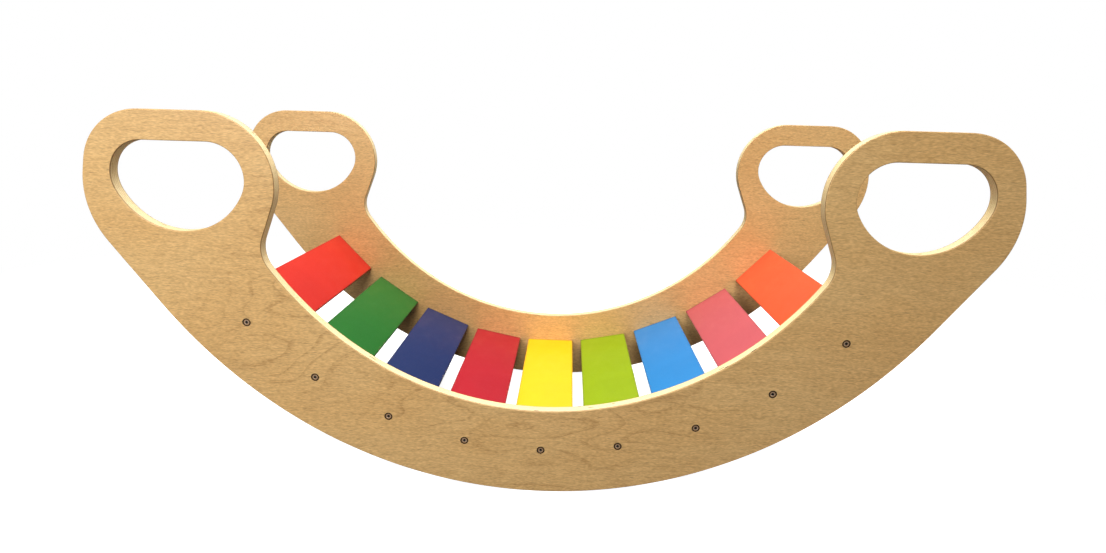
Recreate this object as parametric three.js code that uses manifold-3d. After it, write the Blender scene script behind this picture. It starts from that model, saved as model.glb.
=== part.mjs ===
// A child's wooden rocking seesaw: two identical plywood side panels, cut as crescents with a
// hand loop at each end, joined by nine painted slats. One countersunk screw and one hidden
// dowel hold each end of each slat.
//
// Millimetres, +Z up. X runs along the seesaw, Y across it, and Z = 0 is the floor that the
// panels rock on. The origin is on the floor, midway between the panels and between the handles.

import * as THREE from 'three';
import * as BufferGeometryUtils from 'three/addons/utils/BufferGeometryUtils.js';
import Module from 'manifold-3d';

// ---- driving dimensions --------------------------------------------------------------------

const PLY = 15;                  // thickness of the side panels and of the slats
const CLEAR_WIDTH = 384;         // between the two panels
const GAP = 0.3;                 // left between pieces that touch or fit into each other

const ROCKER_RADIUS = 593;       // bottom edge of a panel; the arc's centre is this far up
const ROCKER_HALF_ANGLE = 54;    // degrees from the middle to where the edge runs on straight
const SEAT_RADIUS = 415;         // top edge of a panel, a tighter arc
const SEAT_CENTRE_Z = 531;

const HANDLE_TOP_Z = 480;        // flat top of the hand loops
const HANDLE_OUTER_X = 559;      // outer side of a loop, at three quarters of the height
const HANDLE_OUTER_LEAN = 12;    // degrees, towards the middle as it rises
const HANDLE_INNER_X = 324.5;    // inner side of a loop, at the same height
const HANDLE_INNER_LEAN = 21.3;  // degrees, towards the middle as it rises
const HANDLE_SIDE_Z = 384;       // height at which the two sides are measured
const LOWER_OUTER_ROUND = 108;
const TOP_OUTER_ROUND = 74;
const TOP_INNER_ROUND = 82;
const NOTCH_ROUND = 40;          // hollow between the loop and the seat arc

const HOLE_CENTRE_X = 441;       // D-shaped hand hole: a round bottom and a flat top
const HOLE_CENTRE_Z = 422;
const HOLE_RADIUS = 85;
const HOLE_TOP_Z = 444.5;
const HOLE_TOP_ROUND = 42;

const SLAT_WIDTH = 84;
const SLATS_EACH_SIDE = 4;       // of the middle slat
const SLAT_CIRCLE_RADIUS = 512;  // the slats and their screws stand on this circle
const SLAT_CIRCLE_CENTRE_Z = 572.5;
const SLAT_STEP = 11.14;         // degrees from one slat to the next
const SLAT_SPREAD = 0.148;       // degrees more on each step away from the middle

const SCREW_LENGTH = 60;
const SCREW_HEAD_RADIUS = 5;
const SCREW_HEAD_RIM = 0.6;      // straight edge of the head, above its cone
const SCREW_HEAD_CONE = 2.8;
const SCREW_SHANK_RADIUS = 2.2;
const SCREW_POINT = 6;
const SCREW_SUNK = 0.5;          // head below the face of the panel
const SOCKET_RADIUS = 2.2;       // drive socket in the head
const SOCKET_DEPTH = 2;

const DOWEL_RADIUS = 4;
const DOWEL_LENGTH = 30;
const DOWEL_CHAMFER = 1;
const DOWEL_IN_PANEL = 9;
const DOWEL_OFFSET = 25;         // from the screw, along the slat's width

const ARC_SAG = 0.15;            // greatest distance between an arc and its chords
const ROUND_SIDES = 12;          // of screws, dowels and their holes

// ---- derived places -------------------------------------------------------------------------

const ROCKER_CENTRE = new THREE.Vector2(0, ROCKER_RADIUS);
const SEAT_CENTRE = new THREE.Vector2(0, SEAT_CENTRE_Z);
const PANEL_INNER_Y = CLEAR_WIDTH / 2;
const SLAT_LENGTH = CLEAR_WIDTH - 2 * GAP;
const SCREW_IN_SLAT = SCREW_LENGTH + SCREW_SUNK - PLY;
const DOWEL_IN_SLAT = DOWEL_LENGTH - DOWEL_IN_PANEL;

// ---- materials ------------------------------------------------------------------------------

const plywood = new THREE.MeshStandardMaterial({ color: 0xd2a96f, roughness: 0.55, metalness: 0 });
const dowelWood = new THREE.MeshStandardMaterial({ color: 0xd9bd90, roughness: 0.8, metalness: 0 });
const steel = new THREE.MeshStandardMaterial({ color: 0x8f8a86, roughness: 0.35, metalness: 1 });

function paint(color) {
  return new THREE.MeshStandardMaterial({ color, roughness: 0.35, metalness: 0 });
}

// From the left end to the right.
const SLATS = [
  { name: 'slat_1_red', color: 0xf84335 },
  { name: 'slat_2_green', color: 0x44833c },
  { name: 'slat_3_navy', color: 0x3e4774 },
  { name: 'slat_4_crimson', color: 0xdb373f },
  { name: 'slat_5_yellow', color: 0xfeef00 },
  { name: 'slat_6_lime', color: 0xb5cd24 },
  { name: 'slat_7_sky_blue', color: 0x4fa2eb },
  { name: 'slat_8_coral_pink', color: 0xee7376 },
  { name: 'slat_9_orange', color: 0xff7448 },
];

// ---- outlines: points along lines and arcs, x along the seesaw and y upwards --------------------

const LOWEST = 1.5 * Math.PI;    // angle of the lowest point of a circle

function direction(degrees) {
  const angle = THREE.MathUtils.degToRad(degrees);
  return new THREE.Vector2(Math.cos(angle), Math.sin(angle));
}

function arc(centre, radius, from, to) {
  const step = 2 * Math.acos(1 - ARC_SAG / radius);
  const steps = Math.max(3, Math.ceil(Math.abs(to - from) / step));
  const points = [];
  for (let i = 0; i <= steps; i += 1) {
    const angle = from + ((to - from) * i) / steps;
    points.push(new THREE.Vector2(Math.cos(angle), Math.sin(angle)).multiplyScalar(radius).add(centre));
  }
  return points;
}

// The shorter arc about centre, from start to end.
function arcBetween(centre, start, end) {
  const from = Math.atan2(start.y - centre.y, start.x - centre.x);
  const to = Math.atan2(end.y - centre.y, end.x - centre.x);
  const turn = THREE.MathUtils.euclideanModulo(to - from + Math.PI, 2 * Math.PI) - Math.PI;
  return arc(centre, start.distanceTo(centre), from, from + turn);
}

function lineCrossing(a, alongA, b, alongB) {
  const distance = b.clone().sub(a).cross(alongB) / alongA.cross(alongB);
  return a.clone().addScaledVector(alongA, distance);
}

// The corner between two straight sides, rounded.
function roundedCorner(before, corner, after, radius) {
  const back = before.clone().sub(corner).normalize();
  const on = after.clone().sub(corner).normalize();
  const half = Math.acos(back.dot(on)) / 2;
  const start = corner.clone().addScaledVector(back, radius / Math.tan(half));
  const end = corner.clone().addScaledVector(on, radius / Math.tan(half));
  const middle = back.clone().add(on).normalize();
  const centre = corner.clone().addScaledVector(middle, radius / Math.sin(half));
  return arcBetween(centre, start, end);
}

function withoutRepeats(points) {
  return points.filter((point, i) => point.distanceTo(points.at(i - 1)) > 0.01);
}

function mirrored(points) {
  return points.map((point) => new THREE.Vector2(-point.x, point.y)).reverse();
}

// Half of the rocker arc, from the middle outwards. Its chords touch the true arc at their
// middles, and the lowest of them lies flat on the floor, half on each side of X = 0.
function halfRocker() {
  const halfAngle = THREE.MathUtils.degToRad(ROCKER_HALF_ANGLE);
  const chords = Math.ceil(halfAngle / (2 * Math.acos(1 - ARC_SAG / ROCKER_RADIUS)));
  const step = halfAngle / (chords + 0.5);
  const radius = ROCKER_RADIUS / Math.cos(step / 2);
  return Array.from({ length: chords + 1 }, (unused, i) => {
    const angle = LOWEST + (i + 0.5) * step;
    return new THREE.Vector2(Math.cos(angle), Math.sin(angle)).multiplyScalar(radius).add(ROCKER_CENTRE);
  });
}

// Half of a panel's edge: from the lowest point out along the rocker, round the hand loop,
// and back down the seat arc to the middle.
function halfPanelEdge() {
  const rocker = halfRocker();
  const outerLean = direction(90 + HANDLE_OUTER_LEAN);
  const innerLean = direction(90 + HANDLE_INNER_LEAN);
  const outerSide = new THREE.Vector2(HANDLE_OUTER_X, HANDLE_SIDE_Z);
  const innerSide = new THREE.Vector2(HANDLE_INNER_X, HANDLE_SIDE_Z);
  const top = new THREE.Vector2(0, HANDLE_TOP_Z);
  const level = direction(0);

  const lowerOuter = lineCrossing(rocker.at(-1), direction(ROCKER_HALF_ANGLE), outerSide, outerLean);
  const topOuter = lineCrossing(outerSide, outerLean, top, level);
  const topInner = lineCrossing(innerSide, innerLean, top, level);

  // The notch's arc touches the loop's inner side and, from within, the seat arc.
  const openSide = direction(180 + HANDLE_INNER_LEAN);
  const beside = innerSide.clone().addScaledVector(openSide, NOTCH_ROUND);
  const fromSeat = beside.clone().sub(SEAT_CENTRE);
  const rise = fromSeat.dot(innerLean);
  const drop = Math.sqrt(rise ** 2 - fromSeat.lengthSq() + (SEAT_RADIUS - NOTCH_ROUND) ** 2);
  const notch = beside.clone().addScaledVector(innerLean, -rise - drop);
  const notchTop = notch.clone().addScaledVector(openSide, -NOTCH_ROUND);
  const seatEnd = notch.clone().sub(SEAT_CENTRE).setLength(SEAT_RADIUS).add(SEAT_CENTRE);
  const seatEndAngle = seatEnd.clone().sub(SEAT_CENTRE).angle();

  return [
    ...rocker,
    ...roundedCorner(rocker.at(-1), lowerOuter, topOuter, LOWER_OUTER_ROUND),
    ...roundedCorner(lowerOuter, topOuter, topInner, TOP_OUTER_ROUND),
    ...roundedCorner(topOuter, topInner, notchTop, TOP_INNER_ROUND),
    ...arcBetween(notch, notchTop, seatEnd),
    ...arc(SEAT_CENTRE, SEAT_RADIUS, seatEndAngle, LOWEST),
  ];
}

// The hand hole's edge: one long arc round the bottom, and two corners up to the flat top.
function handHoleEdge() {
  const centre = new THREE.Vector2(HOLE_CENTRE_X, HOLE_CENTRE_Z);
  const cornerZ = HOLE_TOP_Z - HOLE_TOP_ROUND;
  const reach = HOLE_RADIUS - HOLE_TOP_ROUND;
  const cornerX = Math.sqrt(reach ** 2 - (cornerZ - HOLE_CENTRE_Z) ** 2);
  const left = new THREE.Vector2(HOLE_CENTRE_X - cornerX, cornerZ);
  const right = new THREE.Vector2(HOLE_CENTRE_X + cornerX, cornerZ);
  const leftAngle = left.clone().sub(centre).angle();
  const rightAngle = right.clone().sub(centre).angle();
  const up = Math.PI / 2;
  return [
    ...arc(centre, HOLE_RADIUS, leftAngle, rightAngle),
    ...arc(right, HOLE_TOP_ROUND, rightAngle - 2 * Math.PI, up),
    ...arc(left, HOLE_TOP_ROUND, up, leftAngle),
  ];
}

// ---- solids -----------------------------------------------------------------------------------

const wasm = await Module();
wasm.setup();

function solidOf(geometry) {
  const bare = geometry.clone();
  bare.deleteAttribute('normal');
  bare.deleteAttribute('uv');
  const merged = BufferGeometryUtils.mergeVertices(bare);
  const corners = merged.index.array;
  const triangles = [];
  for (let i = 0; i < corners.length; i += 3) {
    const [a, b, c] = corners.slice(i, i + 3);
    if (a !== b && b !== c && c !== a) {
      triangles.push(a, b, c);
    }
  }
  return new wasm.Manifold(new wasm.Mesh({
    numProp: 3,
    vertProperties: merged.attributes.position.array,
    triVerts: new Uint32Array(triangles),
  }));
}

function geometryOf(solid) {
  const { vertProperties, triVerts } = solid.getMesh();
  const geometry = new THREE.BufferGeometry();
  geometry.setAttribute('position', new THREE.BufferAttribute(vertProperties, 3));
  geometry.setIndex(new THREE.BufferAttribute(triVerts, 1));
  const faceted = geometry.toNonIndexed();
  faceted.computeVertexNormals();
  return faceted;
}

function cut(geometry, tools) {
  const left = tools.reduce((solid, tool) => solid.subtract(solidOf(tool)), solidOf(geometry));
  return geometryOf(left);
}

// A solid turned about Y from (radius, y) pairs, from its lowest y to its highest.
function turned(profile) {
  const points = profile.map(([radius, y]) => new THREE.Vector2(radius, y));
  return new THREE.LatheGeometry(points, ROUND_SIDES);
}

// A round hole along +Y from y = 0, open below.
function drill(radius, depth) {
  return turned([[0, -GAP], [radius, -GAP], [radius, depth], [0, depth]]);
}

// ---- the slats' places --------------------------------------------------------------------------

// Slat 0 is the middle one; slats are counted towards +X.
function slatLean(count) {
  return count * (SLAT_STEP + SLAT_SPREAD * Math.abs(count));
}

function slatPlace(count) {
  const fromCentre = direction(slatLean(count) - 90).multiplyScalar(SLAT_CIRCLE_RADIUS);
  return new THREE.Vector3(fromCentre.x, 0, SLAT_CIRCLE_CENTRE_Z + fromCentre.y);
}

function slatTurn(count) {
  return -THREE.MathUtils.degToRad(slatLean(count));
}

const SLAT_COUNTS = SLATS.map((slat, i) => i - SLATS_EACH_SIDE);

// ---- pieces -------------------------------------------------------------------------------------

// Countersunk screw: head at y = 0, point towards +Y, with a drive socket in the head.
function screwGeometry() {
  const coneEnd = SCREW_HEAD_RIM + SCREW_HEAD_CONE;
  return turned([
    [0, SOCKET_DEPTH],
    [SOCKET_RADIUS, SOCKET_DEPTH],
    [SOCKET_RADIUS, 0],
    [SCREW_HEAD_RADIUS, 0],
    [SCREW_HEAD_RADIUS, SCREW_HEAD_RIM],
    [SCREW_SHANK_RADIUS, coneEnd],
    [SCREW_SHANK_RADIUS, SCREW_LENGTH - SCREW_POINT],
    [0, SCREW_LENGTH],
  ]);
}

// Beech dowel with chamfered ends, from y = 0 towards +Y.
function dowelGeometry() {
  const end = DOWEL_RADIUS - DOWEL_CHAMFER;
  return turned([
    [0, 0],
    [end, 0],
    [DOWEL_RADIUS, DOWEL_CHAMFER],
    [DOWEL_RADIUS, DOWEL_LENGTH - DOWEL_CHAMFER],
    [end, DOWEL_LENGTH],
    [0, DOWEL_LENGTH],
  ]);
}

// The countersunk hole for one screw, from a panel's outer face at y = 0 right through it.
function countersink() {
  const head = SCREW_HEAD_RADIUS + GAP;
  const shank = SCREW_SHANK_RADIUS + GAP;
  const rimEnd = SCREW_SUNK + SCREW_HEAD_RIM + GAP;
  return turned([
    [0, -1],
    [head, -1],
    [head, rimEnd],
    [shank, rimEnd + SCREW_HEAD_CONE],
    [shank, PLY + 1],
    [0, PLY + 1],
  ]);
}

// A side panel, outer face at y = -PLY and inner face at y = 0. It has a countersunk hole for
// each slat's screw, and a blind hole in the inner face for its dowel.
function panelGeometry() {
  const half = halfPanelEdge();
  const shape = new THREE.Shape(withoutRepeats([...half, ...mirrored(half)]));
  const hole = withoutRepeats(handHoleEdge());
  shape.holes.push(new THREE.Path(hole), new THREE.Path(mirrored(hole)));
  const blank = new THREE.ExtrudeGeometry(shape, { depth: PLY, bevelEnabled: false });
  blank.rotateX(Math.PI / 2);

  const tools = SLAT_COUNTS.flatMap((count) => {
    const place = slatPlace(count);
    const screwHole = countersink().translate(0, -PLY, 0);
    const dowelHole = drill(DOWEL_RADIUS + GAP, DOWEL_IN_PANEL + GAP);
    dowelHole.rotateZ(Math.PI).translate(DOWEL_OFFSET, 0, 0).rotateY(slatTurn(count));
    return [screwHole, dowelHole].map((tool) => tool.translate(place.x, 0, place.z));
  });
  return cut(blank, tools);
}

// A slat, lying along Y about its own middle, with a screw hole and a dowel hole in each end.
function slatGeometry() {
  const board = new THREE.BoxGeometry(SLAT_WIDTH, SLAT_LENGTH, PLY);
  const tools = [0, Math.PI].flatMap((turn) => {
    const screwHole = drill(SCREW_SHANK_RADIUS + GAP, SCREW_IN_SLAT);
    const dowelHole = drill(DOWEL_RADIUS + GAP, DOWEL_IN_SLAT).translate(DOWEL_OFFSET, 0, 0);
    return [screwHole, dowelHole].map((tool) => tool.translate(0, -SLAT_LENGTH / 2, 0).rotateZ(turn));
  });
  return cut(board, tools);
}

// ---- the assembly -------------------------------------------------------------------------------

function mesh(name, geometry, material) {
  const piece = new THREE.Mesh(geometry, material);
  piece.name = name;
  return piece;
}

const seesaw = new THREE.Group();
const ENDS = [{ end: 'front', turn: 0 }, { end: 'back', turn: Math.PI }];

const panel = panelGeometry();
for (const { end, turn } of ENDS) {
  const side = new THREE.Group();
  side.rotation.z = turn;
  const board = mesh(`${end}_side_panel`, panel, plywood);
  board.position.y = -PANEL_INNER_Y;
  side.add(board);
  seesaw.add(side);
}

const slatBoard = slatGeometry();
const screw = screwGeometry();
const dowel = dowelGeometry();
SLATS.forEach(({ name, color }, i) => {
  const count = SLAT_COUNTS[i];
  const station = new THREE.Group();
  station.position.copy(slatPlace(count));
  station.rotation.y = slatTurn(count);
  station.add(mesh(name, slatBoard, paint(color)));
  for (const { end, turn } of ENDS) {
    const fixings = new THREE.Group();
    fixings.rotation.z = turn;
    const endScrew = mesh(`${end}_screw_${i + 1}`, screw, steel);
    endScrew.position.y = SCREW_SUNK - PLY - PANEL_INNER_Y;
    const endDowel = mesh(`${end}_dowel_${i + 1}`, dowel, dowelWood);
    endDowel.position.set(DOWEL_OFFSET, -PANEL_INNER_Y - DOWEL_IN_PANEL, 0);
    fixings.add(endScrew, endDowel);
    station.add(fixings);
  }
  seesaw.add(station);
});

export default seesaw;
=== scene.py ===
import math
import random

import bmesh
import bpy
from mathutils import Matrix, Vector


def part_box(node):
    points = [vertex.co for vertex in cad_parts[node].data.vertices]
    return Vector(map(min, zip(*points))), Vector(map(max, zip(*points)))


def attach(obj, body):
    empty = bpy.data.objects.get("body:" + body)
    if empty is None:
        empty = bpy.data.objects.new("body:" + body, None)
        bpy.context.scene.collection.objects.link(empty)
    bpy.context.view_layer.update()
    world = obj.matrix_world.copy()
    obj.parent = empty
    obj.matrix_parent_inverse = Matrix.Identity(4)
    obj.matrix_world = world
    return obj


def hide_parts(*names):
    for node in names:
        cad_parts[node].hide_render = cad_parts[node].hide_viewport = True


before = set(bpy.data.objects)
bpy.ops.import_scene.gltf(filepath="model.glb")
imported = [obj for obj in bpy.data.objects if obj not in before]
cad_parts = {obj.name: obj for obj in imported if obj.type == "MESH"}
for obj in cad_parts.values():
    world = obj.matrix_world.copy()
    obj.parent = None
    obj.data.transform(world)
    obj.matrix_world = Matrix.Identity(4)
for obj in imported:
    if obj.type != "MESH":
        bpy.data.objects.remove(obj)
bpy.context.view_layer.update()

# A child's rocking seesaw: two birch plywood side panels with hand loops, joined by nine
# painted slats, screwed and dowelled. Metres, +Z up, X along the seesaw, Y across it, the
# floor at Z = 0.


# ---- side panels ------------------------------------------------------------------------
# Two identical boards of 15 mm birch plywood, cut to one crescent on a router, with every
# edge rounded over and the whole board lacquered. Each stands on its curved lower edge, and
# takes nine countersunk holes for the screws and nine blind holes for the dowels.

ROCKER_RADIUS = 0.593
ROCKER_HALF_ANGLE = 54
SEAT_RADIUS = 0.415
SEAT_CENTRE_Z = 0.531
HANDLE_TOP_Z = 0.480
HANDLE_SIDE_Z = 0.384
HANDLE_OUTER_X = 0.559
HANDLE_OUTER_LEAN = 12
HANDLE_INNER_X = 0.3245
HANDLE_INNER_LEAN = 21.3
LOWER_OUTER_ROUND = 0.108
TOP_OUTER_ROUND = 0.074
TOP_INNER_ROUND = 0.082
NOTCH_ROUND = 0.040
HOLE_CENTRE = (0.441, 0.422)
HOLE_RADIUS = 0.085
HOLE_TOP_Z = 0.4445
HOLE_TOP_ROUND = 0.042
PANEL_ROUND_OVER = 0.0011     # radius left on every edge by the rounding cutter
OUTLINE_STEP = 0.004          # greatest distance between points on a round stretch
CORNER_STEP = math.radians(4)

SLATS = ("red", "green", "navy", "crimson", "yellow", "lime", "sky_blue", "coral_pink", "orange")
SINK_RADIUS = 0.0054          # mouth of a countersink
SINK_WALL = 0.0053
SINK_LIP = 0.0014             # depth at which its cone starts
SINK_CONE = 0.0028
SHANK_HOLE_RADIUS = 0.0025
DOWEL_HOLE_RADIUS = 0.0043
PANEL_DOWEL_HOLE = 0.0093     # depth
HOLE_SIDES = 40

PLIES = 11
FACE_VENEER = 0.0013          # thickness left on the two outer plies
LOWEST = 1.5 * math.pi
CRISP = math.radians(32)      # a sharper turn than this is a hard line
FACE_RING = 1.3               # inset of the flat ring inside a rounded edge, in radii
SAME_POINT = 1e-5             # nearer than this, two points of an outline are one


def flat(x, z):
    return Vector((x, z))


def heading(degrees):
    return flat(math.cos(math.radians(degrees)), math.sin(math.radians(degrees)))


def arc(centre, radius, start, end):
    turn = end - start
    step = min(OUTLINE_STEP / radius, CORNER_STEP)
    count = max(4, math.ceil(abs(turn) / step))
    angles = [start + turn * i / count for i in range(count + 1)]
    return [centre + radius * flat(math.cos(a), math.sin(a)) for a in angles]


def angle_of(vector):
    return math.atan2(vector.y, vector.x) % (2 * math.pi)


def arc_between(centre, start, end):
    first = angle_of(start - centre)
    turn = (angle_of(end - centre) - first + math.pi) % (2 * math.pi) - math.pi
    return arc(centre, (start - centre).length, first, first + turn)


def crossing(a, along_a, b, along_b):
    cross = along_a.x * along_b.y - along_a.y * along_b.x
    gap = b - a
    return a + along_a * ((gap.x * along_b.y - gap.y * along_b.x) / cross)


def rounded_corner(before, corner, after, radius):
    back = (before - corner).normalized()
    on = (after - corner).normalized()
    half = back.angle(on) / 2
    centre = corner + (back + on).normalized() * radius / math.sin(half)
    reach = radius / math.tan(half)
    return arc_between(centre, corner + back * reach, corner + on * reach)


def half_panel_edge():
    """The outline from the middle of the rocker edge round to the middle of the seat edge."""
    sweep = math.radians(ROCKER_HALF_ANGLE)
    rocker = arc(flat(0, ROCKER_RADIUS), ROCKER_RADIUS, LOWEST, LOWEST + sweep)
    outer_lean = heading(90 + HANDLE_OUTER_LEAN)
    inner_lean = heading(90 + HANDLE_INNER_LEAN)
    outer_side = flat(HANDLE_OUTER_X, HANDLE_SIDE_Z)
    inner_side = flat(HANDLE_INNER_X, HANDLE_SIDE_Z)
    top = flat(0, HANDLE_TOP_Z)
    lower_outer = crossing(rocker[-1], heading(ROCKER_HALF_ANGLE), outer_side, outer_lean)
    top_outer = crossing(outer_side, outer_lean, top, heading(0))
    top_inner = crossing(inner_side, inner_lean, top, heading(0))

    seat_centre = flat(0, SEAT_CENTRE_Z)
    open_side = heading(180 + HANDLE_INNER_LEAN)
    beside = inner_side + open_side * NOTCH_ROUND
    rise = (beside - seat_centre).dot(inner_lean)
    reach = (SEAT_RADIUS - NOTCH_ROUND) ** 2 - (beside - seat_centre).length_squared
    notch = beside - inner_lean * (rise + math.sqrt(rise ** 2 + reach))
    notch_top = notch - open_side * NOTCH_ROUND
    seat_end = seat_centre + (notch - seat_centre).normalized() * SEAT_RADIUS
    return [
        *rocker,
        *rounded_corner(rocker[-1], lower_outer, top_outer, LOWER_OUTER_ROUND),
        *rounded_corner(lower_outer, top_outer, top_inner, TOP_OUTER_ROUND),
        *rounded_corner(top_outer, top_inner, notch_top, TOP_INNER_ROUND),
        *arc_between(notch, notch_top, seat_end),
        *arc(seat_centre, SEAT_RADIUS, angle_of(seat_end - seat_centre), LOWEST),
    ]


def hand_hole_edge():
    centre = flat(*HOLE_CENTRE)
    corner_z = HOLE_TOP_Z - HOLE_TOP_ROUND
    across = math.sqrt((HOLE_RADIUS - HOLE_TOP_ROUND) ** 2 - (corner_z - centre.y) ** 2)
    left = flat(centre.x - across, corner_z)
    right = flat(centre.x + across, corner_z)
    left_angle = angle_of(left - centre)
    right_angle = angle_of(right - centre)
    up = math.pi / 2
    return [
        *arc(centre, HOLE_RADIUS, left_angle, right_angle),
        *arc(right, HOLE_TOP_ROUND, right_angle - 2 * math.pi, up),
        *arc(left, HOLE_TOP_ROUND, up, left_angle),
    ]


def without_repeats(points):
    return [p for i, p in enumerate(points) if (p - points[i - 1]).length > SAME_POINT]


def mirrored(points):
    return [flat(-p.x, p.y) for p in reversed(points)]


def circle(centre, radius, sides=HOLE_SIDES):
    turns = [2 * math.pi * i / sides for i in range(sides)]
    return [centre + radius * flat(math.cos(a), math.sin(a)) for a in turns]


def outward(loop):
    """Unit vectors at a loop's points, to the right of the way it runs."""
    found = []
    for i in range(len(loop)):
        along = (loop[(i + 1) % len(loop)] - loop[i - 1]).normalized()
        found.append(flat(along.y, -along.x))
    return found


def ring(mesh, loop, y):
    return [mesh.verts.new((p.x, y, p.y)) for p in loop]


def bridge(mesh, rings):
    """Quads between rings that follow one another."""
    for near, far in zip(rings, rings[1:]):
        for i in range(len(near)):
            j = (i + 1) % len(near)
            mesh.faces.new((near[i], near[j], far[j], far[i]))


def fill(mesh, rims):
    """A flat face bounded by the first rim, with the others as holes in it."""
    edges = []
    for rim_shadow in rims:
        for i in range(len(rim_shadow)):
            pair = (rim_shadow[i - 1], rim_shadow[i])
            edges.append(mesh.edges.get(pair) or mesh.edges.new(pair))
    bmesh.ops.triangle_fill(mesh, use_beauty=True, edges=edges)


def rounded_profile(thickness, radius, steps=5):
    """(inset, depth) pairs from one face of a board, round its edge, to the other face."""
    quarter = [math.pi / 2 * i / steps for i in range(steps + 1)]
    near = [(radius * (1 - math.sin(a)), radius * (1 - math.cos(a))) for a in quarter]
    near.insert(0, (radius * FACE_RING, 0))
    return near + [(inset, thickness - depth) for inset, depth in reversed(near)]


def rounded_board(mesh, loops, thickness, radius):
    """A board centred on Y = 0 with rounded edges. Gives the rims of its two faces."""
    rims = ([], [])
    for loop in loops:
        normals = outward(loop)
        rings = []
        for inset, depth in rounded_profile(thickness, radius):
            moved = [p - n * inset for p, n in zip(loop, normals)]
            rings.append(ring(mesh, moved, depth - thickness / 2))
        bridge(mesh, rings)
        rims[0].append(rings[0])
        rims[1].append(rings[-1])
    return rims


def finished(mesh, name):
    """The mesh as data that objects can share, with its hard lines kept crisp."""
    bmesh.ops.recalc_face_normals(mesh, faces=mesh.faces)
    for face in mesh.faces:
        face.smooth = True
    for edge in mesh.edges:
        edge.smooth = edge.calc_face_angle(math.pi) < CRISP
    data = bpy.data.meshes.new(name)
    mesh.to_mesh(data)
    mesh.free()
    return data


def piece(node, data, material, location, turned):
    """Puts a mesh in place, as what stands for one CAD node."""
    thing = bpy.data.objects.new(node, data)
    bpy.context.scene.collection.objects.link(thing)
    thing.matrix_world = Matrix.Translation(location) @ turned
    if not data.materials:
        data.materials.append(material)
    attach(thing, "root")
    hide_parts(node)


def middle(node):
    low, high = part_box(node)
    return (low + high) / 2


def panel_mesh(thickness):
    half = half_panel_edge()
    outline = without_repeats(half + mirrored(half))
    hand_hole = without_repeats(hand_hole_edge())
    # The outline runs anticlockwise and the holes clockwise, with the wood on the left of both.
    loops = [outline, hand_hole[::-1], mirrored(hand_hole)[::-1]]
    mesh = bmesh.new()
    outer_rims, inner_rims = rounded_board(mesh, loops, thickness, PANEL_ROUND_OVER)
    outer = -thickness / 2
    for n in range(1, len(SLATS) + 1):
        screw = middle(f"front_screw_{n}").xz
        dowel = middle(f"front_dowel_{n}").xz
        sink = [
            (SINK_RADIUS, 0),
            (SINK_WALL, SINK_RADIUS - SINK_WALL),
            (SINK_WALL, SINK_LIP),
            (SHANK_HOLE_RADIUS, SINK_LIP + SINK_CONE),
            (SHANK_HOLE_RADIUS, thickness),
        ]
        rings = [ring(mesh, circle(screw, radius), outer + depth) for radius, depth in sink]
        bridge(mesh, rings)
        outer_rims.append(rings[0])
        inner_rims.append(rings[-1])
        rings = [
            ring(mesh, circle(dowel, DOWEL_HOLE_RADIUS), thickness / 2 - depth)
            for depth in (0, PANEL_DOWEL_HOLE)
        ]
        bridge(mesh, rings)
        inner_rims.append(rings[0])
        fill(mesh, [rings[-1]])
    fill(mesh, outer_rims)
    fill(mesh, inner_rims)
    return finished(mesh, "side_panel")


def add(tree, kind, inputs=None, **settings):
    """A shader node; an input may be a value or another node's output."""
    node = tree.nodes.new("ShaderNode" + kind)
    for name, value in settings.items():
        setattr(node, name, value)
    for socket, value in (inputs or {}).items():
        if isinstance(value, bpy.types.NodeSocket):
            tree.links.new(value, node.inputs[socket])
        else:
            node.inputs[socket].default_value = value
    return node


def number(tree, operation, *values, clamp=False):
    node = add(tree, "Math", dict(enumerate(values)), operation=operation, use_clamp=clamp)
    return node.outputs[0]


def times(tree, a, b):
    return number(tree, "MULTIPLY", a, b)


def plus(tree, a, b, clamp=False):
    return number(tree, "ADD", a, b, clamp=clamp)


def minus(tree, a, b, clamp=False):
    return number(tree, "SUBTRACT", a, b, clamp=clamp)


def shifted(tree, vector, offset):
    return add(tree, "VectorMath", {0: vector, 1: offset}, operation="ADD").outputs[0]


def scaled(tree, vector, scale):
    return add(tree, "VectorMath", {0: vector, "Scale": scale}, operation="SCALE").outputs[0]


def stretched(tree, vector, scale):
    return add(tree, "VectorMath", {0: vector, 1: scale}, operation="MULTIPLY").outputs[0]


def noise(tree, vector, scale=1.0, detail=2.0, roughness=0.5):
    values = {"Vector": vector, "Scale": scale, "Detail": detail, "Roughness": roughness}
    return add(tree, "TexNoise", values).outputs["Fac"]


def spread(tree, value, low, high, to_low=0.0, to_high=1.0):
    """Spreads values from low..high to to_low..to_high, and holds them there beyond."""
    values = {"Value": value, 1: low, 2: high, 3: to_low, 4: to_high}
    return add(tree, "MapRange", values, interpolation_type="SMOOTHSTEP").outputs[0]


def mixed(tree, factor, a, b, mode="MIX"):
    node = add(tree, "Mix", {0: factor, 6: a, 7: b}, data_type="RGBA", blend_type=mode)
    return node.outputs[2]


def group(name, inputs, outputs):
    """A new shader node group with named sockets; gives its tree and its two end nodes."""
    tree = bpy.data.node_groups.new(name, "ShaderNodeTree")
    for socket_name, kind, value in inputs:
        socket = tree.interface.new_socket(
            socket_name, in_out="INPUT", socket_type="NodeSocket" + kind
        )
        if value is not None:
            socket.default_value = value
    for socket_name, kind in outputs:
        tree.interface.new_socket(
            socket_name, in_out="OUTPUT", socket_type="NodeSocket" + kind
        )
    return tree, tree.nodes.new("NodeGroupInput").outputs, tree.nodes.new("NodeGroupOutput")


def use(tree, shared, inputs):
    """Places a shared group in a material's tree, with this material's own values."""
    return add(tree, "Group", inputs, node_tree=shared).outputs


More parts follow.
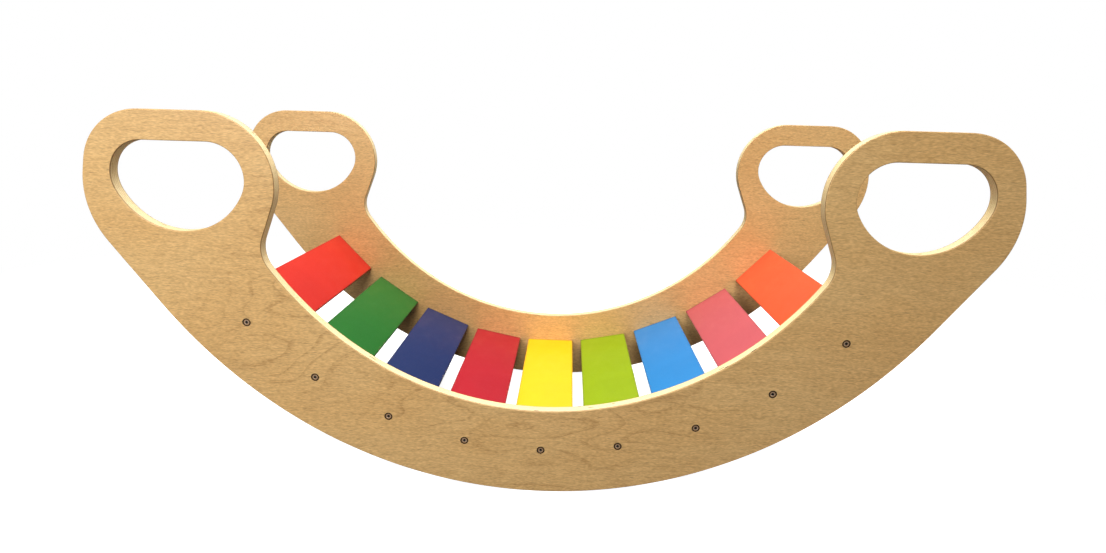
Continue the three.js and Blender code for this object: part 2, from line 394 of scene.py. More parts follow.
def rgb(red, green, blue):
    """A paint-chart colour, 0 to 255, as the linear colour a shader takes."""
    def linear(part):
        part /= 255
        return part / 12.92 if part <= 0.04045 else ((part + 0.055) / 1.055) ** 2.4
    return (linear(red), linear(green), linear(blue), 1)


def new_material(name):
    """A material, with the piece's own coordinates as a vector and as its three parts."""
    material = bpy.data.materials.new(name)
    material.use_nodes = True
    tree = material.node_tree
    place = add(tree, "TexCoord").outputs["Object"]
    parts = add(tree, "SeparateXYZ", {0: place}).outputs
    return material, tree, place, parts


def surface(tree, color, rough, bump, constants=None):
    """Gives a material's shader its finish; what is the same all over goes on its sockets."""
    shader = tree.nodes["Principled BSDF"]
    tree.links.new(color, shader.inputs["Base Color"])
    tree.links.new(rough, shader.inputs["Roughness"])
    tree.links.new(bump.outputs[0], shader.inputs["Normal"])
    for socket, value in (constants or {}).items():
        shader.inputs[socket].default_value = value


# Noise cells per metre along X, Y and Z, for timber whose grain runs along X.
BEND_CELLS = (5, 12, 12)
STREAK_CELLS = (30, 480, 340)
THREAD_CELLS = (210, 1500, 1100)
RIPPLE_CELLS = (140, 560, 440)
PORE_CELLS = (120, 2600, 2100)
RING_CELLS = (2.4, 6, 7.5)
FIGURED_CELLS = (3, 6, 6)
PATCH_CELLS = (5, 11, 11)
GRAIN_BEND = 0.022            # how far the grain wanders
RINGS = 24                    # growth rings across the range of their noise
RING_RAGGED = 0.22            # of the space from one ring to the next
RING_SHARPNESS = 4
RING_DEPTH = 0.9              # how far rings, streaks and the rest darken the wood
STREAK_DEPTH = 0.22
THREAD_DEPTH = 0.42
RIPPLE_DEPTH = 0.2
PORE_DEPTH = 0.3
PORE_RELIEF = 0.7
PORE_BROWN = (0.16, 0.08, 0.035, 1)
PATCH_TINT = (0.93, 0.84, 0.72, 1)


def wood_grain_group():
    """Timber cut along X: long streaks, growth-ring figure, short pores and broad patches."""
    tree, given, out = group(
        "wood_grain",
        [
            ("Vector", "Vector", None),
            ("Seed", "Float", 0.0),
            ("Pale", "Color", (1, 1, 1, 1)),
            ("Dark", "Color", (0, 0, 0, 1)),
            ("Streak Size", "Float", 1.0),
            ("Figure", "Float", 0.4),
            ("Patches", "Float", 0.4),
        ],
        [("Color", "Color"), ("Height", "Float"), ("Streaks", "Float")],
    )
    seed = given["Seed"]
    place = shifted(
        tree, given["Vector"], add(tree, "CombineXYZ", {0: seed, 1: seed, 2: seed}).outputs[0]
    )
    bend = noise(tree, stretched(tree, place, BEND_CELLS), detail=5, roughness=0.55)
    bend = times(tree, minus(tree, bend, 0.5), GRAIN_BEND)
    place = shifted(tree, place, add(tree, "CombineXYZ", {0: 0.0, 1: 0.0, 2: bend}).outputs[0])
    fine = scaled(tree, place, given["Streak Size"])

    streaks = noise(tree, stretched(tree, fine, STREAK_CELLS), detail=3, roughness=0.6)
    threads = noise(tree, stretched(tree, fine, THREAD_CELLS), detail=1)
    ripple = noise(tree, stretched(tree, fine, RIPPLE_CELLS), detail=2, roughness=0.6)
    pores = spread(tree, noise(tree, stretched(tree, fine, PORE_CELLS), detail=0), 0.66, 0.76)

    rings = noise(tree, stretched(tree, place, RING_CELLS), detail=2, roughness=0.45)
    rings = plus(tree, times(tree, rings, RINGS), times(tree, ripple, RING_RAGGED))
    rings = number(tree, "FRACT", rings)
    lines = times(tree, spread(tree, rings, 0.45, 0.95), spread(tree, rings, 1, 0.95))
    lines = times(tree, number(tree, "POWER", lines, RING_SHARPNESS), RING_DEPTH)
    figured = noise(tree, stretched(tree, place, FIGURED_CELLS), detail=2)
    lines = times(tree, lines, spread(tree, figured, 0.36, 0.54))
    lines = times(tree, lines, given["Figure"])

    tone = times(tree, spread(tree, streaks, 0.3, 0.72), STREAK_DEPTH)
    tone = plus(tree, tone, times(tree, spread(tree, threads, 0.28, 0.72), THREAD_DEPTH))
    tone = plus(tree, tone, times(tree, spread(tree, ripple, 0.3, 0.7), RIPPLE_DEPTH))
    tone = plus(tree, tone, lines, clamp=True)
    color = mixed(tree, tone, given["Pale"], given["Dark"])
    patch = spread(tree, noise(tree, stretched(tree, place, PATCH_CELLS), detail=2), 0.3, 0.7)
    color = mixed(tree, times(tree, patch, given["Patches"]), color, PATCH_TINT, "MULTIPLY")
    color = mixed(tree, times(tree, pores, PORE_DEPTH), color, PORE_BROWN)
    height = minus(tree, streaks, times(tree, pores, PORE_RELIEF))

    tree.links.new(color, out.inputs["Color"])
    tree.links.new(height, out.inputs["Height"])
    tree.links.new(tone, out.inputs["Streaks"])
    return tree


SMEAR_CELLS = (22, 15, 30)
DUST_CELLS = 1400


def handling_group():
    """Faint smears and dust specks that hands and storage leave on a finish."""
    tree, given, out = group(
        "handling",
        [("Vector", "Vector", None), ("Size", "Float", 1.0)],
        [("Smears", "Float"), ("Dust", "Float")],
    )
    place = scaled(tree, given["Vector"], given["Size"])
    smears = noise(tree, stretched(tree, place, SMEAR_CELLS), detail=4, roughness=0.6)
    dust = noise(tree, place, scale=DUST_CELLS, detail=1)
    tree.links.new(spread(tree, smears, 0.42, 0.72), out.inputs["Smears"])
    tree.links.new(spread(tree, dust, 0.70, 0.78), out.inputs["Dust"])
    return tree


wood_grain = wood_grain_group()
handling = handling_group()

BIRCH_PALE = rgb(241, 200, 136)
BIRCH_DARK = rgb(184, 142, 88)
LONG_PLY_PALE = rgb(240, 226, 180)
LONG_PLY_DARK = rgb(222, 195, 140)
END_GRAIN_PALE = rgb(230, 208, 156)
END_GRAIN_DARK = rgb(198, 164, 112)
# Painted shade along the rounded edges: its dark brown, and how strongly it covers the veneer.
ROUND_OVER_SHADE_BROWN = rgb(122, 92, 58)
ROUND_OVER_SHADE_AMOUNT = 0.75
GLUE_BROWN = rgb(122, 82, 48)
GLUE_SHADE = 0.3
FIRST_GLUE_SHADE = 0.75       # of the glue line right under a face veneer
VOID_SHADE_BROWN = rgb(48, 30, 18)
PLY_STRETCH = (0.6, 1.1, 0.14)
SPECKLE_CELLS = (900, 1500, 900)
VOID_CELLS = (52, 9, 52)
VOID_SHIFT = 0.37             # keeps the gaps of one ply off those of the next
WAVER_CELLS = 38
PLY_WAVER = 0.16              # how far a glue line strays, in plies
FIGURE_LEFT_OF_MIDDLE = 0.08  # where on the board the flat-cut figure is
FIGURE_FULL = 0.25            # how far from there it is still whole, and has faded out
FIGURE_GONE = 0.40
LACQUER_ROUGHNESS = 0.4


def lacquered_plywood(name, thickness, seed, figure):
    """Birch plywood through and through: veneer on the faces, and on the edges its plies."""
    material, tree, place, parts = new_material(name)

    off_figure = number(tree, "ABSOLUTE", plus(tree, parts["X"], FIGURE_LEFT_OF_MIDDLE))
    veneer = use(tree, wood_grain, {
        "Vector": place,
        "Seed": seed,
        "Pale": BIRCH_PALE,
        "Dark": BIRCH_DARK,
        "Figure": times(tree, spread(tree, off_figure, FIGURE_GONE, FIGURE_FULL), figure),
        "Patches": 0.5,
    })
    long_ply = use(tree, wood_grain, {
        "Vector": stretched(tree, place, PLY_STRETCH),
        "Seed": seed + 3.0,
        "Pale": LONG_PLY_PALE,
        "Dark": LONG_PLY_DARK,
        "Figure": 0.0,
        "Patches": 0.5,
    })
    speckle = noise(tree, stretched(tree, place, SPECKLE_CELLS), detail=2, roughness=0.7)
    end_grain = mixed(tree, spread(tree, speckle, 0.32, 0.7), END_GRAIN_PALE, END_GRAIN_DARK)

    # Layer 0 is one face veneer, layer PLIES - 1 the other, and the core plies lie between.
    core_ply = (thickness - 2 * FACE_VENEER) / (PLIES - 2)
    depth = plus(tree, parts["Y"], thickness / 2 - FACE_VENEER + core_ply)
    layer = number(tree, "DIVIDE", depth, core_ply)
    waver = times(tree, noise(tree, place, scale=WAVER_CELLS, detail=2), PLY_WAVER)
    layer = plus(tree, layer, minus(tree, waver, PLY_WAVER / 2))
    whole = number(tree, "FLOOR", layer)
    crossed = number(tree, "GREATER_THAN", number(tree, "MODULO", whole, 2), 0.5)
    inside = times(
        tree,
        number(tree, "GREATER_THAN", layer, 1),
        number(tree, "LESS_THAN", layer, PLIES - 1),
    )

    near_glue = number(tree, "PINGPONG", layer, 0.5)
    glue = times(tree, spread(tree, near_glue, 0.1, 0.02), inside)
    off_core = number(tree, "ABSOLUTE", minus(tree, layer, PLIES / 2))
    first_glue = spread(tree, off_core, PLIES / 2 - 1.2, PLIES / 2 - 1.1)
    first_glue = times(tree, first_glue, inside)
    # Painted shade: past the face's own surface, the rounded edge is painted dark brown as the thin
    # line of shade along the round-over.
    below_face = minus(tree, thickness / 2, number(tree, "ABSOLUTE", parts["Y"]))
    round_over_shade = times(tree, spread(tree, below_face, 0.00008, 0.0005), ROUND_OVER_SHADE_AMOUNT)
    # Painted shade: the gaps in the crossed core plies are painted near-black as the shade inside
    # them; their depth is only a bump.
    cell = {0: parts["X"], 1: times(tree, whole, VOID_SHIFT), 2: parts["Z"]}
    cell = add(tree, "CombineXYZ", cell).outputs[0]
    voids = spread(tree, noise(tree, stretched(tree, cell, VOID_CELLS), detail=0), 0.765, 0.78)
    voids = times(tree, voids, times(tree, crossed, inside))

    face = mixed(tree, round_over_shade, veneer["Color"], ROUND_OVER_SHADE_BROWN)
    edge = mixed(tree, crossed, long_ply["Color"], end_grain)
    color = mixed(tree, inside, face, edge)
    glue_shade = times(tree, glue, GLUE_SHADE)
    glue_shade = number(tree, "MAXIMUM", glue_shade, times(tree, first_glue, FIRST_GLUE_SHADE))
    color = mixed(tree, glue_shade, color, GLUE_BROWN)
    color = mixed(tree, voids, color, VOID_SHADE_BROWN)

    marks = use(tree, handling, {"Vector": place, "Size": 1.0})
    rough = plus(tree, times(tree, inside, 0.12), LACQUER_ROUGHNESS)
    rough = plus(tree, rough, times(tree, veneer["Streaks"], 0.1))
    rough = plus(tree, rough, times(tree, marks["Smears"], -0.06))
    height = minus(tree, veneer["Height"], times(tree, glue, 0.6))
    height = minus(tree, height, times(tree, voids, 4))
    bump = add(tree, "Bump", {"Height": height, "Strength": 0.35, "Distance": 0.0002})
    lacquer = {"Specular IOR Level": 0.36, "Coat Weight": 0.12, "Coat Roughness": 0.3}
    surface(tree, color, rough, bump, lacquer)
    return material


low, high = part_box("front_side_panel")
panel_thickness = high.y - low.y
panel = panel_mesh(panel_thickness)
panel_places = (
    ("front_side_panel", panel, 0, 0.0, 0.36),
    ("back_side_panel", panel.copy(), math.pi, 1.7, 0.15),
)
for node, data, turn, seed, figure in panel_places:
    plywood = lacquered_plywood(f"{node}_birch", panel_thickness, seed, figure)
    centre = Vector((0, middle(node).y, 0))
    piece(node, data, plywood, centre, Matrix.Rotation(turn, 4, "Z"))


# ---- slats ------------------------------------------------------------------------------
# Nine flat boards of the same plywood, eased along their edges and sprayed with two coats
# of satin paint, one colour each. They butt between the panels, tangent to the seat's curve,
# with a bore for the screw and a blind hole for the dowel in each end.

SLAT_WIDTH = 0.084
SLAT_STEP = 11.14             # degrees from one slat to the next, and a little more outwards
SLAT_SPREAD = 0.148
SLAT_EASING = 0.0012          # radius of the long edges
SLAT_END_EASING = 0.0005
DOWEL_OFFSET = 0.025
SCREW_LENGTH = 0.060
SCREW_SUNK = 0.0005
PILOT_RADIUS = 0.0024
SLAT_DOWEL_HOLE = 0.0215      # depth
SLAT_HOLE_SIDES = 24

PAINTS = {
    "red": rgb(195, 37, 27),
    "green": rgb(34, 99, 36),
    "navy": rgb(28, 42, 84),
    "crimson": rgb(159, 20, 34),
    "yellow": rgb(235, 175, 0),
    "lime": rgb(128, 150, 0),
    "sky_blue": rgb(37, 116, 174),
    "coral_pink": rgb(179, 80, 85),
    "orange": rgb(226, 84, 47),
}


def rounded_rectangle(width, height, radius, steps=5):
    points = []
    for quarter, (sx, sz) in enumerate(((1, 1), (-1, 1), (-1, -1), (1, -1))):
        corner = flat(sx * (width / 2 - radius), sz * (height / 2 - radius))
        for i in range(steps + 1):
            turn = math.pi / 2 * (quarter + i / steps)
            points.append(corner + radius * flat(math.cos(turn), math.sin(turn)))
    return points


def slat_mesh(length, thickness):
    """A slat in its own frame: X across its width, Y along it, Z out of its painted top."""
    mesh = bmesh.new()
    section = rounded_rectangle(SLAT_WIDTH, thickness, SLAT_EASING)
    ends = rounded_board(mesh, [section], length, SLAT_END_EASING)
    pilot = SCREW_LENGTH + SCREW_SUNK - panel_thickness
    for rims, side in zip(ends, (-1, 1)):
        holes = (
            (flat(0, 0), PILOT_RADIUS, pilot),
            (flat(-side * DOWEL_OFFSET, 0), DOWEL_HOLE_RADIUS, SLAT_DOWEL_HOLE),
        )
        for centre, radius, depth in holes:
            mouth = ring(mesh, circle(centre, radius, SLAT_HOLE_SIDES), side * length / 2)
            end = side * (length / 2 - depth)
            bottom = ring(mesh, circle(centre, radius, SLAT_HOLE_SIDES), end)
            bridge(mesh, [mouth, bottom])
            fill(mesh, [bottom])
            rims.append(mouth)
        fill(mesh, rims)
    return finished(mesh, "slat")


WEAR_CELLS = 170
RARE_CELLS = 9


def edge_wear_group():
    """How near a point of a box is to one of its edges, broken up as wear is."""
    tree, given, out = group(
        "edge_wear",
        [("Vector", "Vector", None), ("Half Size", "Vector", (1, 1, 1)), ("Width", "Float", 0.001)],
        [("Edge", "Float"), ("Wear", "Float")],
    )
    size = add(tree, "VectorMath", {0: given["Vector"]}, operation="ABSOLUTE").outputs[0]
    inset = add(tree, "VectorMath", {0: given["Half Size"], 1: size}, operation="SUBTRACT")
    x, y, z = add(tree, "SeparateXYZ", {0: inset.outputs[0]}).outputs
    pairs = [plus(tree, a, b) for a, b in ((x, z), (y, z), (x, y))]
    nearest = number(tree, "MINIMUM", number(tree, "MINIMUM", pairs[0], pairs[1]), pairs[2])
    edge = minus(tree, 1, number(tree, "DIVIDE", nearest, given["Width"]), clamp=True)
    ragged = noise(tree, given["Vector"], scale=WEAR_CELLS, detail=4, roughness=0.65)
    rare = spread(tree, noise(tree, given["Vector"], scale=RARE_CELLS, detail=1), 0.45, 0.75)
    wear = times(tree, spread(tree, ragged, 0.56, 0.62), rare)
    tree.links.new(edge, out.inputs["Edge"])
    tree.links.new(times(tree, edge, wear), out.inputs["Wear"])
    return tree


edge_wear = edge_wear_group()

BARE_PLYWOOD = rgb(222, 190, 142)
DUST_GREY = (0.8, 0.78, 0.74, 1)
PAINT_ROUGHNESS = 0.40
PEEL_CELLS = 420
CLOUD_CELLS = 16
EDGE_WEAR_AND_SHADE_WIDTH = 0.0032
END_JOINT_SHADE = (0.0016, 0.0003)    # how near a slat's end the painted shade of the joint starts, and is full


def satin_paint(name, colour, half_size, seed):
    """Two sprayed coats over sanded plywood: orange peel, a trace of the grain and plies."""
    material, tree, place, parts = new_material(name)
    along = add(tree, "CombineXYZ", {0: parts["Y"], 1: parts["Z"], 2: parts["X"]}).outputs[0]
    grain = use(tree, wood_grain, {
        "Vector": along,
        "Seed": seed,
        "Streak Size": 0.8,
        "Figure": 0.2,
    })
    edges = use(tree, edge_wear, {"Vector": place, "Half Size": half_size, "Width": EDGE_WEAR_AND_SHADE_WIDTH})
    marks = use(tree, handling, {"Vector": place, "Size": 1.4})

    cloud = noise(tree, place, scale=CLOUD_CELLS, detail=3)
    tone = times(tree, spread(tree, cloud, 0.3, 0.7), 0.35)
    tone = plus(tree, tone, times(tree, grain["Streaks"], 0.3), clamp=True)
    red, green, blue = colour[:3]
    deeper = (red * 0.86, green * 0.86, blue * 0.88, 1)
    painted_shade_tone = (red * 0.4, green * 0.4, blue * 0.4, 1)
    color = mixed(tree, tone, colour, deeper)
    # Painted shade: every edge of the slat is darkened towards a deep copy of its own paint.
    color = mixed(tree, times(tree, edges["Edge"], 0.4), color, painted_shade_tone)
    # Painted shade: a dark band at each end of the slat, where it butts against a panel.
    to_end = minus(tree, half_size[1], number(tree, "ABSOLUTE", parts["Y"]))
    joint_shade = times(tree, spread(tree, to_end, *END_JOINT_SHADE), 0.6)
    color = mixed(tree, joint_shade, color, painted_shade_tone)
    color = mixed(tree, times(tree, edges["Wear"], 0.5), color, BARE_PLYWOOD)
    color = mixed(tree, times(tree, marks["Dust"], 0.12), color, DUST_GREY)

    peel = noise(tree, place, scale=PEEL_CELLS, detail=2)
    plies = number(tree, "PINGPONG", times(tree, parts["Z"], PLIES / panel_thickness), 0.5)
    plies = times(tree, spread(tree, plies, 0.0, 0.2), edges["Edge"])
    height = plus(tree, peel, times(tree, grain["Height"], 0.35))
    height = plus(tree, height, times(tree, plies, 0.3))
    rough = plus(tree, PAINT_ROUGHNESS, times(tree, marks["Smears"], -0.08))
    rough = plus(tree, rough, times(tree, tone, 0.1))
    rough = plus(tree, rough, times(tree, edges["Wear"], 0.2))
    bump = add(tree, "Bump", {"Height": height, "Strength": 0.25, "Distance": 0.00012})
    surface(tree, color, rough, bump, {"Specular IOR Level": 0.25})
    return material


low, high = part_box("slat_5_yellow")
slat_length = high.y - low.y
slat_thickness = high.z - low.z
half_slat = (SLAT_WIDTH / 2, slat_length / 2, slat_thickness / 2)
for i, colour_name in enumerate(SLATS):
    node = f"slat_{i + 1}_{colour_name}"
    count = i - len(SLATS) // 2
    lean = math.radians(count * (SLAT_STEP + SLAT_SPREAD * abs(count)))
    paint = satin_paint(f"paint_{colour_name}", PAINTS[colour_name], half_slat, 0.6 * i)
    board = slat_mesh(slat_length, slat_thickness)
    turned = Matrix.Rotation(-lean, 4, "Y")
    piece(node, board, paint, middle(node), turned)


# ---- screws -----------------------------------------------------------------------------
# Nine 5 x 60 mm wood screws through each panel into the ends of the slats. They are hardened
# steel, plated bronze on the face of the head, with painted shade in black on its outer ring and
# in its six-lobe socket, sunk just below the wood, with a thread on the front two thirds of the
# shank.

HEAD_RADIUS = 0.005
HEAD_BEVEL = 0.00025
HEAD_RIM = 0.0006
HEAD_CONE = 0.0028
FACE_RADII = (0.0030, 0.0042)         # rings on the flat of the head
SHANK_RADIUS = 0.0022
CORE_RADIUS = 0.0016
NECK_FILLET = 0.0002
NECK = 0.0004
POINT = 0.006
POINT_TIP = 0.0003
PLAIN_SHANK = 0.018
PITCH = 0.0024
RIDGE_WIDTH = 0.26                    # of the pitch, on each side of the crest
SOCKET_RADIUS = 0.0022
SOCKET_INNER = 0.0016
SOCKET_DEPTH = 0.002
SOCKET_RINGS = (                      # size of the lobes, and depth
    (0.86, SOCKET_DEPTH),
    (0.97, SOCKET_DEPTH - 0.0002),
    (1.0, 0.0002),
    (1.07, 0.00004),
)
SOCKET_BOTTOM = SOCKET_DEPTH + 0.0004
HEAD_SIDES = 48
SHANK_SIDES = 24
ROWS_A_TURN = 8


def six_lobes(scale):
    mean = (SOCKET_RADIUS + SOCKET_INNER) / 2
    swing = (SOCKET_RADIUS - SOCKET_INNER) / 2
    points = []
    for i in range(HEAD_SIDES):
        turn = 2 * math.pi * i / HEAD_SIDES
        wave = math.cos(6 * turn)
        radius = (mean + swing * wave * (1.15 - 0.15 * wave * wave)) * scale
        points.append(radius * flat(math.cos(turn), math.sin(turn)))
    return points


def thread_radius(turn, depth):
    """Radius of the shank at an angle and a depth: a sharp ridge that winds round a core."""
    tip = (SCREW_LENGTH - depth) / POINT
    taper = min(1, max(0.02, tip))
    start = min(1, max(0, (depth - PLAIN_SHANK) / PITCH))
    core = SHANK_RADIUS + (CORE_RADIUS - SHANK_RADIUS) * start
    phase = (turn / (2 * math.pi) - depth / PITCH) % 1
    ridge = max(0, 1 - abs(phase - 0.5) / RIDGE_WIDTH)
    return (core + (SHANK_RADIUS - CORE_RADIUS) * 1.05 * ridge * start) * taper


def screw_mesh():
    """A screw in its own frame: its head's face at Y = 0, its point along +Y."""
    mesh = bmesh.new()
    middle_point = flat(0, 0)
    socket = [ring(mesh, six_lobes(scale), depth) for scale, depth in SOCKET_RINGS]
    bottom = mesh.verts.new((0, SOCKET_BOTTOM, 0))
    for i in range(HEAD_SIDES):
        mesh.faces.new((socket[0][i], socket[0][(i + 1) % HEAD_SIDES], bottom))
    head_profile = [
        *((radius, 0.0) for radius in FACE_RADII),
        (HEAD_RADIUS - HEAD_BEVEL, 0.0),
        (HEAD_RADIUS - HEAD_BEVEL * 0.3, HEAD_BEVEL * 0.3),
        (HEAD_RADIUS, HEAD_BEVEL),
        (HEAD_RADIUS, HEAD_RIM),
        (SHANK_RADIUS + NECK_FILLET, HEAD_RIM + HEAD_CONE),
    ]
    head = [ring(mesh, circle(middle_point, r, HEAD_SIDES), y) for r, y in head_profile]
    bridge(mesh, socket + head)

    start = HEAD_RIM + HEAD_CONE + NECK
    plain = ring(mesh, circle(middle_point, SHANK_RADIUS, SHANK_SIDES), start)
    for i in range(SHANK_SIDES):
        a, b, c = (head[-1][(2 * i + k) % HEAD_SIDES] for k in range(3))
        mesh.faces.new((a, b, c, plain[(i + 1) % SHANK_SIDES], plain[i]))
    rows = [plain]
    depth = PLAIN_SHANK
    while depth < SCREW_LENGTH - POINT_TIP:
        loop = []
        for i in range(SHANK_SIDES):
            turn = 2 * math.pi * i / SHANK_SIDES
            loop.append(thread_radius(turn, depth) * flat(math.cos(turn), math.sin(turn)))
        rows.append(ring(mesh, loop, depth))
        depth += PITCH / ROWS_A_TURN
    bridge(mesh, rows)
    point = mesh.verts.new((0, SCREW_LENGTH, 0))
    for i in range(SHANK_SIDES):
        mesh.faces.new((rows[-1][i], rows[-1][(i + 1) % SHANK_SIDES], point))
    return finished(mesh, "screw")


BRONZE_PALE = rgb(190, 148, 104)
BRONZE_DARK = rgb(150, 112, 76)
RUBBED_STEEL_AND_GLINT = rgb(232, 226, 214)
RIM_SHADOW_BLACK = rgb(14, 11, 9)
SOCKET_SHADE_BLACK = rgb(16, 13, 11)
RUBBED_GLINT_RADIUS = 0.00235               # round the mouth of the socket
RUBBED_GLINT_WIDTH = 0.0005
RIM_START = 0.0034
RIM_FULL = 0.0040
TURNING_CELLS = 9000
SPOT_CELLS = 1300


def plated_steel():
    """Plating turned in rings on the head, with a bright ring round the socket that is partly
    rubbed plating where a driver bears and partly a painted glint, and painted shade in black on
    the head's outer ring and in its socket.
    """
    material, tree, place, parts = new_material("plated_screw_steel")
    span = add(tree, "CombineXYZ", {0: parts["X"], 1: 0.0, 2: parts["Z"]}).outputs[0]
    radius = add(tree, "VectorMath", {0: span}, operation="LENGTH").outputs["Value"]
    turning = add(tree, "CombineXYZ", {0: times(tree, radius, TURNING_CELLS)}).outputs[0]
    turning = noise(tree, turning, detail=2)
    spots = noise(tree, place, scale=SPOT_CELLS, detail=4, roughness=0.65)
    marks = use(tree, handling, {"Vector": place, "Size": 9.0})
    # A bright ring round the socket's mouth: partly rubbed plating, partly a painted glint.
    off_mouth = number(tree, "ABSOLUTE", minus(tree, radius, RUBBED_GLINT_RADIUS))
    rubbed_and_glint = times(tree, spread(tree, off_mouth, RUBBED_GLINT_WIDTH, 0.0), spread(tree, spots, 0.4, 0.6))
    # Painted shadow: the outer ring of the head's face, where it meets the countersink, is painted
    # black.
    rim_shadow = times(tree, spread(tree, radius, RIM_START, RIM_FULL), 0.98)
    # Painted shade: everything more than a fraction of a millimetre below the head's face, the
    # inside of the socket and the head's side, is painted near-black.
    socket_shade = times(tree, spread(tree, parts["Y"], 0.00005, 0.0004), 0.95)

    color = mixed(tree, spread(tree, spots, 0.3, 0.7), BRONZE_PALE, BRONZE_DARK)
    color = mixed(tree, rubbed_and_glint, color, RUBBED_STEEL_AND_GLINT)
    color = mixed(tree, rim_shadow, color, RIM_SHADOW_BLACK)
    color = mixed(tree, socket_shade, color, SOCKET_SHADE_BLACK)
    rough = plus(tree, 0.38, times(tree, spots, 0.16))
    rough = plus(tree, rough, times(tree, marks["Smears"], 0.12))
    height = plus(tree, turning, times(tree, spots, 0.5))
    bump = add(tree, "Bump", {"Height": height, "Strength": 0.4, "Distance": 0.00004})
    surface(tree, color, rough, bump, {"Metallic": 0.35})
    return material


screw = screw_mesh()
steel = plated_steel()
drives = random.Random(9)
for side, facing in (("front", 0), ("back", math.pi)):
    for i in range(1, len(SLATS) + 1):
        node = f"{side}_screw_{i}"
        low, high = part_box(node)
        centre = middle(node)
        centre.y = low.y if side == "front" else high.y
        driven = Matrix.Rotation(drives.uniform(0, math.pi / 3), 4, "Y")
        turned = Matrix.Rotation(facing, 4, "Z") @ driven
        piece(node, screw, steel, centre, turned)


# ---- dowels -----------------------------------------------------------------------------
# One 8 x 30 mm fluted beech dowel beside each screw, glued into the slat's end and into the
# panel, so that a slat can't turn on its single screw. Chamfered ends, and flutes along the
# sides that let the glue and the air out.

DOWEL_RADIUS = 0.004
DOWEL_CHAMFER = 0.001
CHAMFER_CREST = 0.0002
FLUTES = 16
FLUTE_DEPTH = 0.00025
FLUTE_POINTS = 4                      # on the outline, from one flute to the next


def fluted(radius):
    points = []
    for i in range(FLUTES * FLUTE_POINTS):
        turn = 2 * math.pi * i / (FLUTES * FLUTE_POINTS)
        groove = FLUTE_DEPTH * (i % FLUTE_POINTS == 0)
        points.append((radius - groove) * flat(math.cos(turn), math.sin(turn)))
    return points


def dowel_mesh(length):
    mesh = bmesh.new()
    near = [
        (DOWEL_RADIUS - DOWEL_CHAMFER, 0.0),
        (DOWEL_RADIUS - CHAMFER_CREST, DOWEL_CHAMFER * 0.8),
        (DOWEL_RADIUS, DOWEL_CHAMFER * 1.3),
    ]
    profile = near + [(radius, length - depth) for radius, depth in reversed(near)]
    rings = [ring(mesh, fluted(radius), depth - length / 2) for radius, depth in profile]
    bridge(mesh, rings)
    fill(mesh, [rings[0]])
    fill(mesh, [rings[-1]])
    return finished(mesh, "dowel")


BEECH_PALE = rgb(226, 186, 146)
BEECH_DARK = rgb(192, 146, 106)
RAY_BROWN = rgb(150, 98, 62)
RAY_CELLS = (420, 2600, 2600)


def bare_beech():
    """Unfinished beech, pinkish, with grain along the dowel and rays as short brown flecks."""
    material, tree, place, parts = new_material("bare_beech")
    along = add(tree, "CombineXYZ", {0: parts["Y"], 1: parts["Z"], 2: parts["X"]}).outputs[0]
    grain = use(tree, wood_grain, {
        "Vector": along,
        "Seed": 5.0,
        "Pale": BEECH_PALE,
        "Dark": BEECH_DARK,
        "Streak Size": 2.4,
        "Figure": 0.0,
        "Patches": 0.3,
    })
    rays = spread(tree, noise(tree, stretched(tree, along, RAY_CELLS), detail=0), 0.64, 0.72)
    color = mixed(tree, times(tree, rays, 0.5), grain["Color"], RAY_BROWN)
    rough = plus(tree, 0.66, times(tree, grain["Streaks"], 0.15))
    bump = add(tree, "Bump", {"Height": grain["Height"], "Strength": 0.5, "Distance": 0.0001})
    surface(tree, color, rough, bump)
    return material


low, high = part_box("front_dowel_1")
dowel = dowel_mesh(high.y - low.y)
beech = bare_beech()
for side in ("front", "back"):
    for i in range(1, len(SLATS) + 1):
        node = f"{side}_dowel_{i}"
        piece(node, dowel, beech, middle(node), Matrix())


# ---- studio -----------------------------------------------------------------------------
# A plain pale floor that runs out to a white room, a big soft light overhead, a smaller one
# close on the left, weak ones behind and on the right, and the camera just above the hand
# loops, in front of the middle.

FLOOR_RADIUS = 14
FLOOR_BOUNCE = 0.09
LIT_RADIUS = 0.9              # past this the floor fades into the white room
FADED_RADIUS = 1.8
NEAR_GLOW = 0.94              # what the camera sees of the floor's own white, near and far
FAR_GLOW = 1.0
FLOOR_GREY = (0.5, 0.5, 0.5, 1)
ROOM_FILL = 0.02
AIM = Vector((0, 0, 0.2))     # what every light points at


def stage_floor():
    mesh = bmesh.new()
    bmesh.ops.create_circle(mesh, cap_ends=True, segments=96, radius=FLOOR_RADIUS)
    data = bpy.data.meshes.new("floor")
    mesh.to_mesh(data)
    mesh.free()
    material = bpy.data.materials.new("pale_floor")
    material.use_nodes = True
    tree = material.node_tree
    tree.nodes.clear()
    place = add(tree, "TexCoord").outputs["Object"]
    radius = add(tree, "VectorMath", {0: place}, operation="LENGTH").outputs["Value"]
    far = spread(tree, radius, LIT_RADIUS, FADED_RADIUS)
    lit = add(tree, "BsdfDiffuse", {"Color": FLOOR_GREY})
    glow = add(tree, "Emission", {"Color": (1, 1, 1, 1), "Strength": NEAR_GLOW})
    near_floor = add(tree, "AddShader", {0: lit.outputs[0], 1: glow.outputs[0]})
    far_floor = add(tree, "Emission", {"Color": (1, 1, 1, 1), "Strength": FAR_GLOW})
    seen_floor = add(tree, "MixShader", {0: far, 1: near_floor.outputs[0], 2: far_floor.outputs[0]})
    bounce = (FLOOR_BOUNCE, FLOOR_BOUNCE, FLOOR_BOUNCE, 1)
    plain = add(tree, "BsdfDiffuse", {"Color": bounce})
    seen = add(tree, "LightPath").outputs["Is Camera Ray"]
    either = add(tree, "MixShader", {0: seen, 1: plain.outputs[0], 2: seen_floor.outputs[0]})
    add(tree, "OutputMaterial", {"Surface": either.outputs[0]})
    data.materials.append(material)
    floor = bpy.data.objects.new("floor", data)
    bpy.context.scene.collection.objects.link(floor)


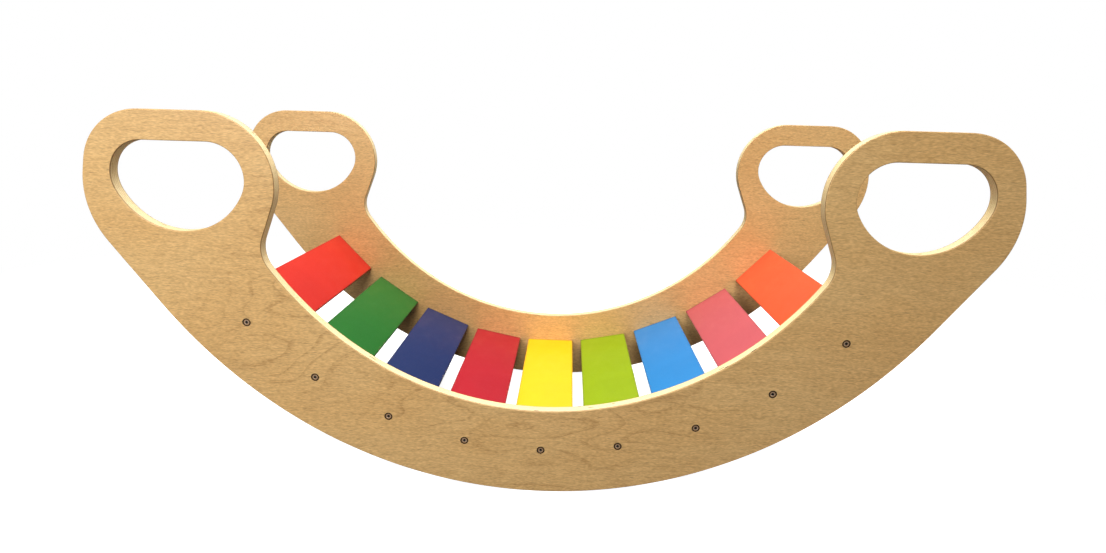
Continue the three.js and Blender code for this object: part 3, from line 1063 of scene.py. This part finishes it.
def white_room(strength):
    world = bpy.data.worlds.new("white_room")
    bpy.context.scene.world = world
    world.use_nodes = True
    tree = world.node_tree
    tree.nodes.clear()
    seen = add(tree, "LightPath").outputs["Is Camera Ray"]
    backdrop = add(tree, "Background", {"Color": (1, 1, 1, 1), "Strength": 1.0})
    fill_light = add(tree, "Background", {"Color": (0.96, 0.98, 1, 1), "Strength": strength})
    either = add(tree, "MixShader", {0: seen, 1: fill_light.outputs[0], 2: backdrop.outputs[0]})
    add(tree, "OutputWorld", {"Surface": either.outputs[0]})


def soft_light(name, location, width, power, glare=True):
    lamp = bpy.data.lights.new(name, "AREA")
    lamp.shape = "DISK"
    lamp.size = width
    lamp.energy = power
    lit = bpy.data.objects.new(name, lamp)
    bpy.context.scene.collection.objects.link(lit)
    lit.location = location
    towards = AIM - Vector(location)
    lit.rotation_euler = towards.to_track_quat("-Z", "Y").to_euler()
    lit.visible_camera = False
    lit.visible_glossy = glare


def camera(location, yaw, pitch, roll, lens):
    """yaw is to the right of +Y, pitch is down and roll is clockwise, all in degrees."""
    yaw, pitch, roll = (math.radians(angle) for angle in (yaw, pitch, roll))
    ahead = Vector((
        math.sin(yaw) * math.cos(pitch),
        math.cos(yaw) * math.cos(pitch),
        -math.sin(pitch),
    ))
    level = Vector((math.cos(yaw), -math.sin(yaw), 0))
    upright = level.cross(ahead)
    right = level * math.cos(roll) + upright * math.sin(roll)
    up = upright * math.cos(roll) - level * math.sin(roll)
    data = bpy.data.cameras.new("camera")
    data.sensor_width = 36
    data.lens = lens
    eye = bpy.data.objects.new("camera", data)
    bpy.context.scene.collection.objects.link(eye)
    turn = Matrix((right, up, -ahead)).transposed().to_4x4()
    eye.matrix_world = Matrix.Translation(location) @ turn
    bpy.context.scene.camera = eye


stage_floor()
white_room(ROOM_FILL)
soft_light("overhead", (0, 0, 2.4), width=1.8, power=90.5)
soft_light("overhead_front", (0, -1.6, 2.2), width=1.6, power=25)
soft_light("close_left", (-0.8, -1.4, 0.85), width=0.8, power=14.8)
soft_light("behind", (0.2, 1.9, 1.2), width=1.6, power=24, glare=False)
soft_light("right_fill", (2.0, 0.2, 0.7), width=1.4, power=12, glare=False)
camera((0.02506, -0.94875, 0.48794), yaw=-1.191, pitch=14.498, roll=1.662, lens=20.519)
bpy.context.scene.view_settings.view_transform = "Standard"
